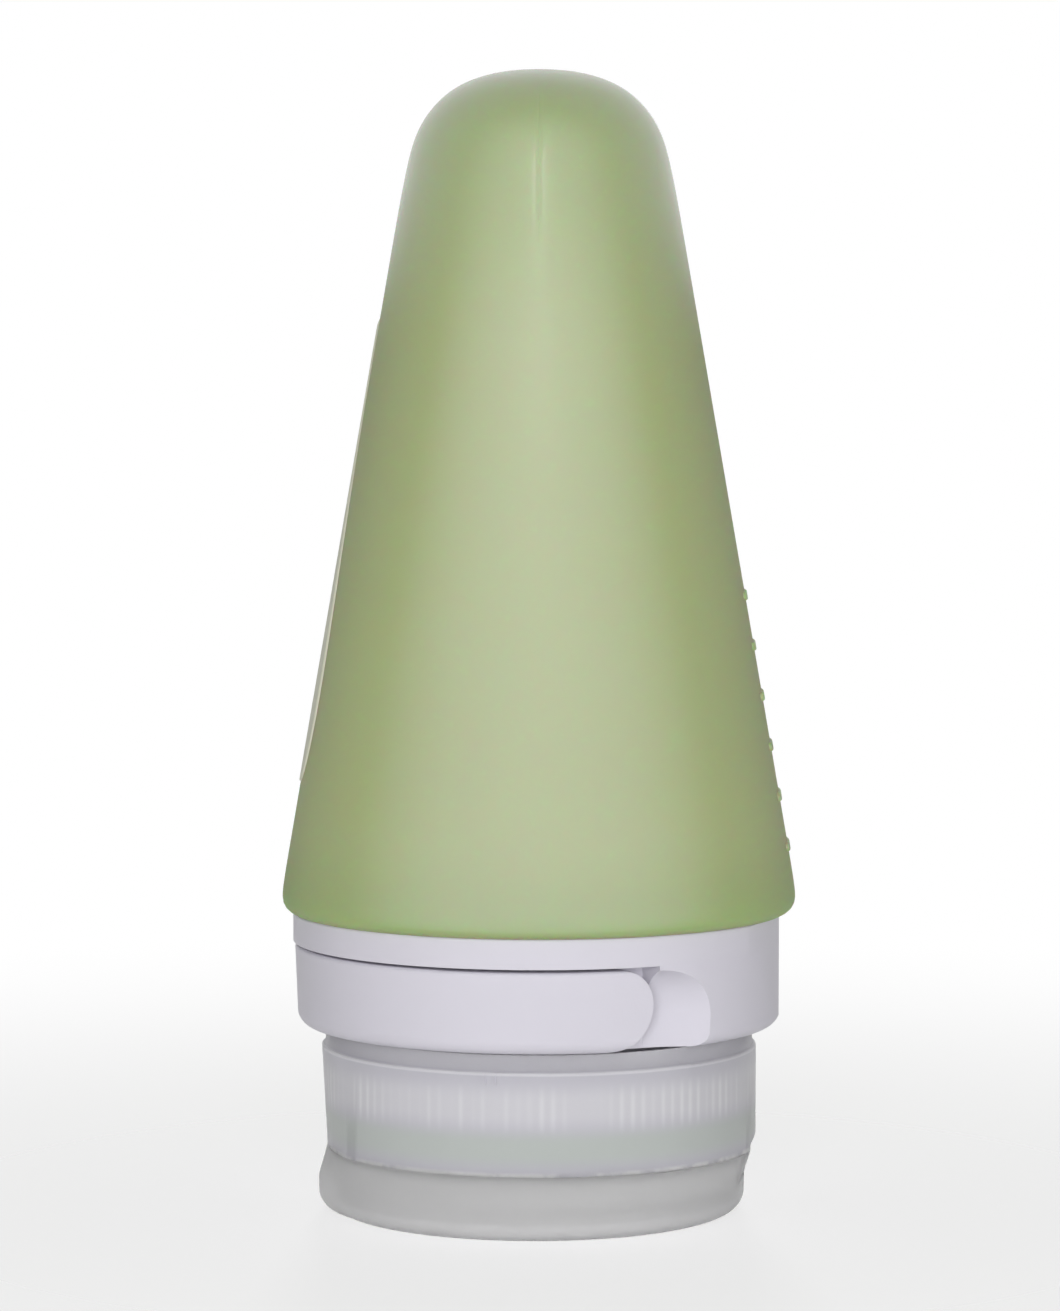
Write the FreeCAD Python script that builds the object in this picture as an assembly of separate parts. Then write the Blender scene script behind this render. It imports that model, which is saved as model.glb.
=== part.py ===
import FreeCAD, Part
import math
import os

# Soft travel bottle, standing on its flip lid. Millimetres, +Z up, origin on the floor under its axis.
# Bearings are degrees about +Z from +X, anticlockwise from above, so the front is at -90.

# Mouth, from the inside outwards
neck_bore = 13.0
neck_wall = 1.9
thread_room = 1.2
insert_wall = 1.4
rib_height = 0.7
rib_fit = 0.1
cap_wall = 1.3
neck_radius = neck_bore + neck_wall
insert_bore = neck_radius + thread_room
insert_radius = insert_bore + insert_wall
shell_bore = insert_radius + rib_height + rib_fit
cap_radius = shell_bore + cap_wall

# Collar and loop, from the neck outwards
collar_fit = 0.05
collar_wall = 3.95
loop_gap = 0.3
loop_thickness = 2.8
rim_step = 0.15
tube_overhang = 0.85
collar_bore = neck_radius + collar_fit
recess_radius = collar_bore + collar_wall
loop_inner = recess_radius + loop_gap
loop_radius = loop_inner + loop_thickness
rim_radius = loop_radius + rim_step
tube_radius = rim_radius + tube_overhang

# Heights, from the floor upwards
lid_height = 5.8
parting_gap = 0.15
deck_thickness = 1.6
gasket_thickness = 1.5
seal_gap = 0.05
cap_height = 10.65
cap_band = 1.5
collar_gap = 0.3
loop_height = 7.25
loop_slot = 0.3
rim_height = 2.65
flange_grip = 2.5
cap_bottom = lid_height + parting_gap
deck_top = cap_bottom + deck_thickness
neck_end = deck_top + gasket_thickness + seal_gap
cap_rim = cap_bottom + cap_height
collar_bottom = cap_rim + collar_gap
loop_top = collar_bottom + loop_height
recess_roof = loop_top + loop_slot
collar_top = recess_roof + rim_height
flange_seat = collar_top + flange_grip

# Silicone tube: round at its mouth, oval at its closed end. Its skin is smooth over control sections.
tube_length = 75.3
lip_height = 2.6
lip_tuck = 0.75
lip_rise = 0.4
lip_swell = 0.2
lip_foot = 2.0
lip_end = 5.0
thickness_crown = 8.5
width_crown = 16.5
end_half_thickness = 11.85
end_half_width = 18.6
end_width_ease = 0.4
shoulder_drop = 3.3
shoulder_half_thickness = 10.4
shoulder_half_width = 16.2
top_half_thickness = 5.5
top_half_width = 9.0
tube_wall = 2.0
tube_end_wall = 2.4
mouth_fit = 0.1
tube_top = collar_top + tube_length
tube_widest = collar_top + lip_height
crown_start = tube_top - thickness_crown
width_crown_start = tube_top - width_crown
side_rows = 3
skin_columns = 16
skin_degree = 3

# Neck insert
insert_flange_reach = 4.9
insert_flange_thickness = 1.6
insert_flange_round = 0.5
bead_height = 0.6
bead_reach = 0.45
neck_end_chamfer = 0.4

# Collar
collar_taper = 0.3
collar_edge_round = 1.3
rim_edge_round = 0.3
pad_half_angle = 33.5
pad_depth = 0.5
core_inset = 1.35
core_width = 1.25
core_roof = 2.0
core_webs = 8
core_web_angle = 6.0
scoop_radius = 10.4
scoop_roof_round = 5.0

# Loop arm and its hinge
loop_hinge_bearing = 160.0
loop_sweep = 137.0
loop_tip_upper_round = 3.0
loop_tip_lower_round = 4.2
loop_tip_gap_angle = 1.5
loop_edge_round = 0.35
loop_hinge_inset = 1.7
loop_knuckle_radius = 1.55
loop_ear_height = 1.6
loop_ear_radius = 1.75
loop_pin_radius = 0.8
loop_pin_depth = 1.5
loop_pin_recess = 0.2
hinge_gap = 0.3
pin_press = 0.01
pin_running = 0.05
loop_heel_room = 1.95
loop_hinge_radius = loop_radius - loop_hinge_inset
loop_tip_bearing = loop_hinge_bearing + loop_sweep

# Screw cap
cap_band_step = 0.35
cap_edge_round = 0.25
thumb_depth = 0.5
thumb_round = 23.5
insert_recess = 1.0
rib_count = 120
rib_width_share = 0.45
rib_foot = 1.4
rib_top_margin = 1.5
rib_root_sink = 0.1
gasket_overlap = 0.6
gasket_gap = 0.2

# Outlet with its valve
outlet_radius = 5.0
valve_seat = 2.6
valve_flange = 0.8
valve_gap = 0.1
valve_wall = 0.7
valve_drop = 1.0
valve_skin = 0.6
valve_sag = 0.5
slit_width = 0.2
slit_margin = 0.6
seat_wall = 1.2
retainer_thickness = 0.7
retainer_margin = 0.3
retainer_fit = 0.05

# Flip lid and its hinge
lid_tuck = 0.7
lid_offset = 0.35
lid_wall = 1.2
lid_floor = 1.4
lid_edge_round = 0.7
lid_flare = 3.2
lid_flare_tuck = 0.1
lid_lip_reach = 0.3
lid_lip_round = 14.0
lid_lip_height = 3.0
plug_gap = 0.8
plug_wall = 1.0
plug_clearance = 0.15
lid_hinge_inset = 1.6
lid_hinge_drop = 1.0
lid_knuckle_radius = 1.3
lid_knuckle_length = 5.2
lid_lug_length = 2.1
lid_pin_radius = 0.55
lid_pin_recess = 0.1
lid_relief = 0.8
lid_relief_slope = 45.0
lid_swing_gap = 0.15
lid_radius = cap_radius - lid_tuck
lid_hinge_x = cap_radius - lid_hinge_inset
lid_hinge_z = lid_height - lid_hinge_drop
lid_lug_start = lid_knuckle_length / 2 + hinge_gap
lid_lug_end = lid_lug_start + lid_lug_length

# Cutters run this far past what they cut, and an edge is found by its height to within this
past = 5.0
edge_match = 0.001
ORIGIN = FreeCAD.Vector(0, 0, 0)
UP = FreeCAD.Vector(0, 0, 1)
ACROSS = FreeCAD.Vector(0, 1, 0)


def post(radius, bottom, top, x=0.0, y=0.0):
    """Upright cylinder between two heights."""
    return Part.makeCylinder(radius, top - bottom, FreeCAD.Vector(x, y, bottom), UP)


def ring(outer, inner, bottom, top):
    """Upright ring between two heights."""
    return post(outer, bottom, top).cut(post(inner, bottom - past, top + past))


def wedge(outer, inner, bottom, top, start, sweep):
    """Part of an upright ring between two bearings."""
    slice_of_post = Part.makeCylinder(outer, top - bottom, FreeCAD.Vector(0, 0, bottom), UP, sweep)
    slice_of_post.rotate(ORIGIN, UP, start)
    return slice_of_post.cut(post(inner, bottom - past, top + past))


def rod(radius, start, end, x, z):
    """Cylinder along Y between two distances."""
    return Part.makeCylinder(radius, end - start, FreeCAD.Vector(x, start, z), ACROSS)


def block(low, high):
    """Box between two corners."""
    size = [high[i] - low[i] for i in range(3)]
    return Part.makeBox(size[0], size[1], size[2], FreeCAD.Vector(low[0], low[1], low[2]))


def rounded(shape, radius, height):
    """Rounds the outermost circular edge of a turned shape at one height."""
    circles = [e for e in shape.Edges if isinstance(e.Curve, Part.Circle) and e.BoundBox.ZLength < edge_match]
    level = [e for e in circles if abs(e.CenterOfMass.z - height) < edge_match]
    widest = max(e.Curve.Radius for e in level)
    outer = [e for e in level if e.Curve.Radius == widest]
    return shape.makeFillet(radius, outer)


def on_bearing(radius, bearing):
    """X and Y of a point at a radius and a bearing."""
    turn = math.radians(bearing)
    return radius * math.cos(turn), radius * math.sin(turn)


def side_section(height, inset):
    """Half thickness and half width of the tube's straight side at one height, inset from its outer skin."""
    share = (height - tube_widest) / (crown_start - tube_widest)
    half_thickness = tube_radius + share * (end_half_thickness - tube_radius)
    half_width = tube_radius + share * (end_half_width - tube_radius)
    return height, half_thickness - inset, half_width - inset


def side_heights(bottom):
    """Heights of the control sections from the lip's end to the start of the crown."""
    reach = width_crown_start - bottom
    return [bottom + reach * row / side_rows for row in range(side_rows + 1)]


def crown_rows(inset, top):
    """Control sections of the closed end, as height, half thickness and half width."""
    return [(crown_start, end_half_thickness - inset, end_half_width - end_width_ease - inset),
            (top - shoulder_drop, shoulder_half_thickness - inset, shoulder_half_width - inset),
            (top, top_half_thickness, top_half_width),
            (top, 0.0, 0.0)]


def skin_solid(rows):
    """Closed solid under a smooth skin whose control sections are ovals, from a flat foot to a closed top.

    A cubic skin lies inside its control ring, so the ring is swollen by the share that it draws in.
    """
    swell = 3.0 / (2.0 + math.cos(2 * math.pi / skin_columns))
    poles = []
    for column in range(skin_columns):
        turn = 2 * math.pi * column / skin_columns
        poles.append([FreeCAD.Vector(half_x * swell * math.cos(turn), half_y * swell * math.sin(turn), height)
                      for height, half_x, half_y in rows])
    spans = len(rows) - skin_degree
    end_count = skin_degree + 1
    end_knots = [end_count] + [1] * (spans - 1) + [end_count]
    skin = Part.BSplineSurface()
    skin.buildFromPolesMultsKnots(poles, [1] * (skin_columns + 1), end_knots,
                                  list(range(skin_columns + 1)), list(range(spans + 1)), True, False,
                                  skin_degree, skin_degree)
    side = skin.toShape()
    rim = [e for e in side.Edges if not e.Degenerated and e.isClosed() and e.BoundBox.ZLength < edge_match]
    foot = Part.Face(Part.Wire(rim))
    foot.reverse()
    return Part.Solid(Part.makeShell([side, foot]))


def make_silicone_tube():
    lip_radius = tube_radius - lip_tuck
    swell_radius = tube_radius + lip_swell
    outer_rows = [(collar_top, lip_radius, lip_radius), (collar_top + lip_rise, swell_radius, swell_radius)]
    outer_heights = [collar_top + lip_foot] + side_heights(collar_top + lip_end)
    outer_rows += [side_section(height, 0.0) for height in outer_heights] + crown_rows(0.0, tube_top)
    inner_rows = [side_section(height, tube_wall) for height in side_heights(flange_seat)]
    inner_rows += crown_rows(tube_wall, tube_top - tube_end_wall)
    mouth = post(neck_radius + mouth_fit, collar_top - past, flange_seat + past)
    return skin_solid(outer_rows).cut(skin_solid(inner_rows)).cut(mouth)


def make_neck_insert():
    flange_top = flange_seat + insert_flange_thickness
    flange = post(neck_radius + insert_flange_reach, flange_seat, flange_top)
    flange = rounded(flange, insert_flange_round, flange_top)
    bead = Part.makeCone(neck_radius, neck_radius + bead_reach, bead_height,
                         FreeCAD.Vector(0, 0, collar_bottom - bead_height), UP)
    neck_body = post(neck_radius, neck_end, flange_seat + insert_flange_thickness / 2)
    end_edge = [e for e in neck_body.Edges if abs(e.BoundBox.ZMax - neck_end) < edge_match]
    neck_body = neck_body.makeChamfer(neck_end_chamfer, end_edge)
    bore = post(neck_bore, neck_end - past, flange_top + past)
    return neck_body.fuse([bead, flange]).cut(bore).removeSplitter()


def loop_envelope():
    """Outer form shared by the collar and the loop arm, under the rim."""
    cone = Part.makeCone(loop_radius - collar_taper, loop_radius, recess_roof - collar_bottom,
                         FreeCAD.Vector(0, 0, collar_bottom), UP)
    return rounded(cone, collar_edge_round, collar_bottom)


def loop_hinge_post(radius, bottom, top):
    """Upright cylinder on the loop's hinge axis."""
    x, y = on_bearing(loop_hinge_radius, loop_hinge_bearing)
    return post(radius, bottom, top, x, y)


def pad_cutter():
    """What flattens the collar's hinge side: all outside a flatter round that meets the rim."""
    edge_x, edge_y = on_bearing(rim_radius, pad_half_angle)
    middle_x = rim_radius - pad_depth
    centre_x = (middle_x ** 2 - rim_radius ** 2) / (2 * (middle_x - edge_x))
    bottom, top = collar_bottom - past, collar_top + past
    kept = post(middle_x - centre_x, bottom, top, centre_x)
    return block((edge_x, -edge_y, bottom), (rim_radius + past, edge_y, top)).cut(kept)


def finger_scoop():
    """Hollow beside the loop's tip, where a fingernail gets behind it."""
    x, y = on_bearing(recess_radius + scoop_radius, loop_tip_bearing)
    return rounded(post(scoop_radius, collar_bottom - past, recess_roof, x, y), scoop_roof_round, recess_roof)


def core_pockets():
    """Pockets that core out the collar from below, between radial webs."""
    pitch = 360.0 / core_webs
    inner = collar_bore + core_inset
    return [wedge(inner + core_width, inner, collar_bottom - past, recess_roof - core_roof,
                  index * pitch + core_web_angle / 2, pitch - core_web_angle) for index in range(core_webs)]


def make_collar():
    ear_top = collar_bottom + loop_ear_height
    rim = rounded(post(rim_radius, recess_roof, collar_top), rim_edge_round, collar_top)
    recess = wedge(rim_radius + past, recess_radius, collar_bottom - past, recess_roof,
                   loop_hinge_bearing, loop_sweep + loop_tip_gap_angle)
    knuckle_room = loop_hinge_post(loop_knuckle_radius + hinge_gap, ear_top, recess_roof)
    heel_room = block((loop_hinge_radius, -loop_heel_room, ear_top), (rim_radius + past, 0, recess_roof))
    heel_room.rotate(ORIGIN, UP, loop_hinge_bearing)
    ear = loop_hinge_post(loop_ear_radius, collar_bottom, ear_top).common(loop_envelope())
    body = loop_envelope().cut([recess, knuckle_room, heel_room, finger_scoop()] + core_pockets())
    bore = post(collar_bore, collar_bottom - past, collar_top + past)
    body = body.fuse([ear, rim]).cut([pad_cutter(), bore])
    pin_top = recess_roof + loop_pin_depth
    pin_hole = loop_hinge_post(loop_pin_radius + pin_press, collar_bottom - past, pin_top)
    return body.cut(pin_hole).removeSplitter()


def tip_corner(radius, height, side):
    """Cutter that rounds a corner of the loop's tip; side is 1 for the upper one and -1 for the lower."""
    low, high = sorted((height, height - side * radius))
    corner = block((0, -radius, low), (rim_radius + past, 0, high))
    nose = Part.makeCylinder(radius, rim_radius + past, FreeCAD.Vector(0, -radius, height - side * radius),
                             FreeCAD.Vector(1, 0, 0))
    corner = corner.cut(nose)
    corner.rotate(ORIGIN, UP, loop_tip_bearing)
    return corner


def make_loop_arm():
    ear_clear = collar_bottom + loop_ear_height + hinge_gap
    band = wedge(rim_radius + past, loop_inner, collar_bottom, loop_top, loop_hinge_bearing, loop_sweep)
    turned = loop_envelope().common(post(rim_radius, collar_bottom, loop_top))
    arm = band.common(rounded(turned, loop_edge_round, loop_top))
    arm = arm.cut([tip_corner(loop_tip_upper_round, loop_top, 1),
                   tip_corner(loop_tip_lower_round, collar_bottom, -1),
                   loop_hinge_post(loop_ear_radius + hinge_gap, collar_bottom - past, ear_clear)])
    knuckle = loop_hinge_post(loop_knuckle_radius, ear_clear, loop_top)
    pin_hole = loop_hinge_post(loop_pin_radius + pin_running, collar_bottom - past, loop_top + past)
    return arm.fuse(knuckle).cut(pin_hole).removeSplitter()


def make_loop_hinge_pin():
    return loop_hinge_post(loop_pin_radius, collar_bottom + loop_pin_recess,
                           recess_roof + loop_pin_depth - loop_pin_recess)


def thumb_cutter(bottom, top):
    """What the thumb recess takes off the opening side, deepest at the parting line, gone at the band."""
    fade = cap_rim - cap_band
    outlines = []
    for height in (bottom, fade):
        depth = thumb_depth * (fade - height) / (fade - cap_bottom)
        circle = Part.makeCircle(thumb_round, FreeCAD.Vector(thumb_round + depth - cap_radius, 0, height))
        outlines.append(Part.Wire(circle))
    kept = Part.makeLoft(outlines, True, True)
    return block((-cap_radius - past, -cap_radius, bottom), (0, cap_radius, top)).cut(kept)


def lid_hinge_rod(radius, half_length):
    """Cylinder on the lid's hinge axis, centred on the bottle."""
    return rod(radius, -half_length, half_length, lid_hinge_x, lid_hinge_z)


def make_cap_shell():
    band_bottom = cap_rim - cap_band
    body = rounded(post(cap_radius, cap_bottom, band_bottom), cap_edge_round, band_bottom)
    body = body.fuse(post(cap_radius - cap_band_step, band_bottom - cap_edge_round, cap_rim))
    body = body.cut(thumb_cutter(cap_bottom - past, band_bottom))
    relief = block((-lid_relief, -lid_lug_end, -lid_relief), (lid_relief, lid_lug_end, lid_relief))
    relief.rotate(ORIGIN, ACROSS, lid_relief_slope)
    relief.translate(FreeCAD.Vector(cap_radius, 0, cap_bottom))
    body = body.cut(post(shell_bore, deck_top, cap_rim + past))
    lugs = [lug.common(post(cap_radius, 0, cap_rim)) for lug in lid_lugs()]
    seat_inner = outlet_radius + valve_seat + valve_gap
    seat = ring(seat_inner + seat_wall, seat_inner, deck_top - deck_thickness / 2,
                deck_top + valve_flange + retainer_thickness)
    body = body.cut(lid_hinge_rod(lid_knuckle_radius + hinge_gap, lid_lug_start))
    body = body.fuse(lugs + [seat])
    outlet = post(outlet_radius, cap_bottom - past, deck_top + past)
    pin_hole = lid_hinge_rod(lid_pin_radius + pin_press, lid_lug_end + past)
    return body.cut([relief, outlet, pin_hole]).removeSplitter()


def lid_lugs():
    """The two lugs that hang from the cap into the lid's notch and hold the hinge pin."""
    lugs = []
    for start in (lid_lug_start, -lid_lug_end):
        barrel = rod(lid_knuckle_radius, start, start + lid_lug_length, lid_hinge_x, lid_hinge_z)
        web = block((lid_hinge_x - lid_knuckle_radius, start, lid_hinge_z),
                    (lid_hinge_x + lid_knuckle_radius, start + lid_lug_length, cap_bottom + lid_relief))
        lugs.append(barrel.fuse(web))
    return lugs


def make_thread_insert():
    top = cap_rim - insert_recess
    foot = deck_top + rib_foot
    body = post(insert_radius, deck_top, top)
    pitch = 2 * math.pi / rib_count
    outline = []
    for index in range(rib_count):
        for radius, share in ((insert_radius - rib_root_sink, 0.0), (insert_radius + rib_height, 0.0),
                              (insert_radius + rib_height, rib_width_share),
                              (insert_radius - rib_root_sink, rib_width_share)):
            turn = (index + share) * pitch
            outline.append(FreeCAD.Vector(radius * math.cos(turn), radius * math.sin(turn), foot))
    ribs = Part.Face(Part.makePolygon(outline + outline[:1]))
    ribs = ribs.extrude(FreeCAD.Vector(0, 0, top - rib_top_margin - foot))
    return body.fuse(ribs).cut(post(insert_bore, deck_top - past, top + past)).removeSplitter()


def make_cap_gasket():
    return ring(insert_bore - gasket_gap, neck_bore - gasket_overlap, deck_top, deck_top + gasket_thickness)


def make_no_drip_valve():
    flange_radius = outlet_radius + valve_seat
    stem = outlet_radius - valve_gap
    foot = deck_top - valve_drop
    body = post(flange_radius, deck_top, deck_top + valve_flange).fuse(post(stem, foot, deck_top))
    ball = (stem ** 2 + valve_sag ** 2) / (2 * valve_sag)
    hollow_below = Part.makeSphere(ball, FreeCAD.Vector(0, 0, foot + valve_sag - ball))
    body = body.cut(hollow_below)
    inner = post(stem - valve_wall, foot - past, deck_top + valve_flange + past)
    skin_top = Part.makeSphere(ball, FreeCAD.Vector(0, 0, foot + valve_sag + valve_skin - ball))
    body = body.cut(inner.cut(skin_top).common(post(stem, foot, deck_top + valve_flange)))
    slit = stem - valve_wall - slit_margin
    slits = [block((-slit, -slit_width / 2, foot - past), (slit, slit_width / 2, deck_top + past)),
             block((-slit_width / 2, -slit, foot - past), (slit_width / 2, slit, deck_top + past))]
    return body.cut(slits).removeSplitter()


def make_valve_retainer():
    seat_inner = outlet_radius + valve_seat + valve_gap
    bottom = deck_top + valve_flange
    inner = outlet_radius + retainer_margin
    return ring(seat_inner - retainer_fit, inner, bottom, bottom + retainer_thickness)


def make_flip_lid():
    flare_start = lid_height - lid_flare
    base = rounded(post(lid_radius, 0, flare_start, -lid_offset), lid_edge_round, 0)
    lower = Part.Wire(Part.makeCircle(lid_radius, FreeCAD.Vector(-lid_offset, 0, flare_start)))
    upper = Part.Wire(Part.makeCircle(cap_radius - lid_flare_tuck, FreeCAD.Vector(0, 0, lid_height)))
    flare = Part.makeLoft([lower, upper], True, True).cut(thumb_cutter(0, lid_height))
    lip_centre = lid_lip_round - cap_radius - lid_lip_reach
    lip = rounded(post(lid_lip_round, 0, lid_lip_height, lip_centre), lid_edge_round, 0)
    lip_slope = Part.makeCone(lid_lip_round, lid_lip_round - lid_lip_reach - thumb_depth,
                              lid_height - lid_lip_height, FreeCAD.Vector(lip_centre, 0, lid_lip_height), UP)
    body = base.fuse([flare, lip, lip_slope])
    body = body.cut(post(lid_radius - lid_wall, lid_floor, lid_height + past, -lid_offset))
    notch_radius = lid_knuckle_radius + hinge_gap
    notch_half = lid_lug_end + hinge_gap
    notch_top = block((lid_hinge_x - notch_radius, -notch_half, lid_hinge_z),
                      (cap_radius + past, notch_half, lid_height + past))
    heel = block((lid_hinge_x, -cap_radius, lid_hinge_z), (cap_radius + past, cap_radius, lid_height + past))
    heel = heel.cut(lid_hinge_rod(lid_hinge_drop + parting_gap - lid_swing_gap, cap_radius))
    body = body.cut([lid_hinge_rod(notch_radius, notch_half), notch_top, heel])
    knuckle_half = lid_knuckle_length / 2
    web = block((lid_hinge_x - notch_radius - lid_wall, -knuckle_half, lid_floor / 2),
                (lid_hinge_x, knuckle_half, lid_hinge_z))
    knuckle = lid_hinge_rod(lid_knuckle_radius, knuckle_half).fuse(web)
    knuckle = knuckle.common(post(cap_radius, 0, cap_rim))
    plug_radius = outlet_radius - plug_gap
    plug_top = deck_top - valve_drop - plug_clearance
    plug = ring(plug_radius, plug_radius - plug_wall, lid_floor / 2, plug_top)
    body = body.fuse([knuckle, plug])
    return body.cut(lid_hinge_rod(lid_pin_radius + pin_running, notch_half)).removeSplitter()


def make_lid_hinge_pin():
    return lid_hinge_rod(lid_pin_radius, lid_lug_end - lid_pin_recess)


pieces = {
    "silicone_tube": make_silicone_tube,
    "neck_insert": make_neck_insert,
    "collar": make_collar,
    "loop_arm": make_loop_arm,
    "loop_hinge_pin": make_loop_hinge_pin,
    "cap_shell": make_cap_shell,
    "thread_insert": make_thread_insert,
    "cap_gasket": make_cap_gasket,
    "no_drip_valve": make_no_drip_valve,
    "valve_retainer": make_valve_retainer,
    "flip_lid": make_flip_lid,
    "lid_hinge_pin": make_lid_hinge_pin,
}
os.makedirs("parts", exist_ok=True)
for name, make in pieces.items():
    shape = make()
    print(name, "solids", len(shape.Solids), "volume", round(shape.Volume, 1), "valid", shape.isValid())
    shape.exportStep("parts/" + name + ".step")
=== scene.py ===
import bmesh
import bpy
import math
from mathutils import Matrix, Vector


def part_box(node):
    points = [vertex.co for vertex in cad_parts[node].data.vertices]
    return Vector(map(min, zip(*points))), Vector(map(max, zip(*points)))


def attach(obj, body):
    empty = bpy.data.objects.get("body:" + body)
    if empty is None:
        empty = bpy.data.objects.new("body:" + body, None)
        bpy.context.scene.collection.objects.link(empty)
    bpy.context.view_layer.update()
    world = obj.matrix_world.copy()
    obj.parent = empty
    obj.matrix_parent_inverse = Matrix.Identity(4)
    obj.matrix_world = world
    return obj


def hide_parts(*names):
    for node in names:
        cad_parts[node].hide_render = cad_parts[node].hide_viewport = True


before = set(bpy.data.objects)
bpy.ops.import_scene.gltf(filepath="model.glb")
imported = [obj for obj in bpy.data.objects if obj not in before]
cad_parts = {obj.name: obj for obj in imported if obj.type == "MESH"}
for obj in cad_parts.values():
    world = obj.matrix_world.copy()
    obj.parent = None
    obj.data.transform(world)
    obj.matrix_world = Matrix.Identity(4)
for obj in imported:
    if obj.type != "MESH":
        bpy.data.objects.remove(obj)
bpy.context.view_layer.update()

# Neck insert: the rigid mouth of the bottle, a flanged tube of pale polypropylene with an outside thread.
# It is injection moulded, and its flange is pushed through the soft mouth and grips it from inside.
# The solid keeps its form here; the thread is one ridge of right-hand helix wound on its wall.


class Wire:
    """One socket of a node tree, so that what varies over a surface is written as sums of wires."""

    def __init__(self, tree, socket=None):
        self.tree = tree
        self.socket = socket

    def node(self, kind, settings=None, sockets=None, out=0):
        """Adds any node: its settings first, then the values or wires of its sockets."""
        made = self.tree.nodes.new(kind)
        for name, value in (settings or {}).items():
            setattr(made, name, value)
        for key, value in (sockets or {}).items():
            if isinstance(value, Wire):
                self.tree.links.new(value.socket, made.inputs[key])
            else:
                made.inputs[key].default_value = value
        return Wire(self.tree, made.outputs[out] if made.outputs else None)

    def out(self, key):
        """Another output of the same node."""
        return Wire(self.tree, self.socket.node.outputs[key])

    def maths(self, operation, first, second=0.0):
        """A sum, product or other operation on wires and numbers."""
        return self.node("ShaderNodeMath", {"operation": operation}, {0: first, 1: second})

    def tint(self, share, colour):
        """Colour mixed from this wire's colour and another one."""
        return self.node("ShaderNodeMix", {"data_type": "RGBA"}, {0: share, 6: self, 7: colour}, 2)

    def ramp(self, low, high):
        """Smooth share from 0 at low to 1 at high."""
        settings = {"interpolation_type": "SMOOTHSTEP"}
        return self.node("ShaderNodeMapRange", settings, {"Value": self, "From Min": low, "From Max": high})

    def between(self, low, high, fade):
        """Smooth share of 1 between low and high that fades to 0 over this distance at both ends."""
        return self.ramp(low, low + fade) * (1.0 - self.ramp(high - fade, high))

    def __add__(self, other):
        return self.maths("ADD", self, other)

    def __sub__(self, other):
        return self.maths("SUBTRACT", self, other)

    def __rsub__(self, other):
        return self.maths("SUBTRACT", other, self)

    def __mul__(self, other):
        return self.maths("MULTIPLY", self, other)

    __radd__ = __add__
    __rmul__ = __mul__


def start_finish(name):
    """An empty material, and a wire to draw its nodes with."""
    finish = bpy.data.materials.new(name)
    finish.use_nodes = True
    finish.node_tree.nodes.clear()
    return finish, Wire(finish.node_tree)


def grain(wire, place, size, detail=2.0):
    """Soft noise from 0 to 1 whose blotches are about this size, in metres."""
    return wire.node("ShaderNodeTexNoise", {}, {"Vector": place, "Scale": 1.0 / size, "Detail": detail})


def moulded_plastic(name, colour, roughness):
    """Satin injection-moulded polypropylene: faint flow marks, a fine eroded skin and uneven gloss."""
    finish, wire = start_finish(name)
    place = wire.node("ShaderNodeTexCoord", out="Object")
    flow = grain(wire, place, 0.012, 3.0)
    skin = grain(wire, place, 0.00022, 1.0)
    shade = [channel * 0.94 for channel in colour] + [1.0]
    base = wire.node("ShaderNodeRGB")
    base.socket.default_value = list(colour) + [1.0]
    relief = wire.node("ShaderNodeBump", {}, {"Strength": 0.12, "Distance": 0.00004, "Height": skin})
    surface = wire.node("ShaderNodeBsdfPrincipled", {}, {
        "Base Color": base.tint(flow, shade), "Roughness": flow * 0.1 + (roughness - 0.05), "IOR": 1.49,
        "Subsurface Weight": 0.15, "Subsurface Radius": (1.0, 0.95, 0.95), "Subsurface Scale": 0.0012,
        "Specular IOR Level": 0.2, "Normal": relief})
    wire.node("ShaderNodeOutputMaterial", {}, {"Surface": surface})
    return finish


def dress(node, finish):
    """Gives a solid that keeps its form its finish."""
    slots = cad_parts[node].data.materials
    slots.clear()
    slots.append(finish)


def start_tree(name, inputs):
    """An empty node tree with named inputs, a wire to draw its nodes with, and its input node's wires."""
    tree = bpy.data.node_groups.new(name, "GeometryNodeTree")
    tree.interface.new_socket("Geometry", in_out="OUTPUT", socket_type="NodeSocketGeometry")
    for label, kind in inputs:
        tree.interface.new_socket(label, in_out="INPUT", socket_type="NodeSocket" + kind)
    wire = Wire(tree)
    source = tree.nodes.new("NodeGroupInput")
    return wire, {label: Wire(tree, source.outputs[label]) for label, kind in inputs}


def end_tree(wire, shape, finish):
    """Closes a tree: plain geometry and the piece's finish."""
    shape = wire.node("GeometryNodeRealizeInstances", {}, {"Geometry": shape})
    shape = wire.node("GeometryNodeSetMaterial", {}, {"Geometry": shape, "Material": finish})
    wire.node("NodeGroupOutput", {}, {"Geometry": shape})


def grow(name, wire, values, start=None):
    """Runs a tree on a start object and returns the result as a piece with a plain mesh."""
    seed = start or bpy.data.objects.new(name + "_start", bpy.data.meshes.new(name + "_start"))
    bpy.context.scene.collection.objects.link(seed)
    step = seed.modifiers.new(name, "NODES")
    step.node_group = wire.tree
    for item in wire.tree.interface.items_tree:
        if item.in_out == "INPUT" and item.name in values:
            step[item.identifier] = values[item.name]
    evaluated = seed.evaluated_get(bpy.context.evaluated_depsgraph_get())
    mesh = bpy.data.meshes.new_from_object(evaluated)
    seed.modifiers.remove(step)
    bpy.data.objects.remove(seed)
    return add_piece(name, mesh, values["Finish"])


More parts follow.
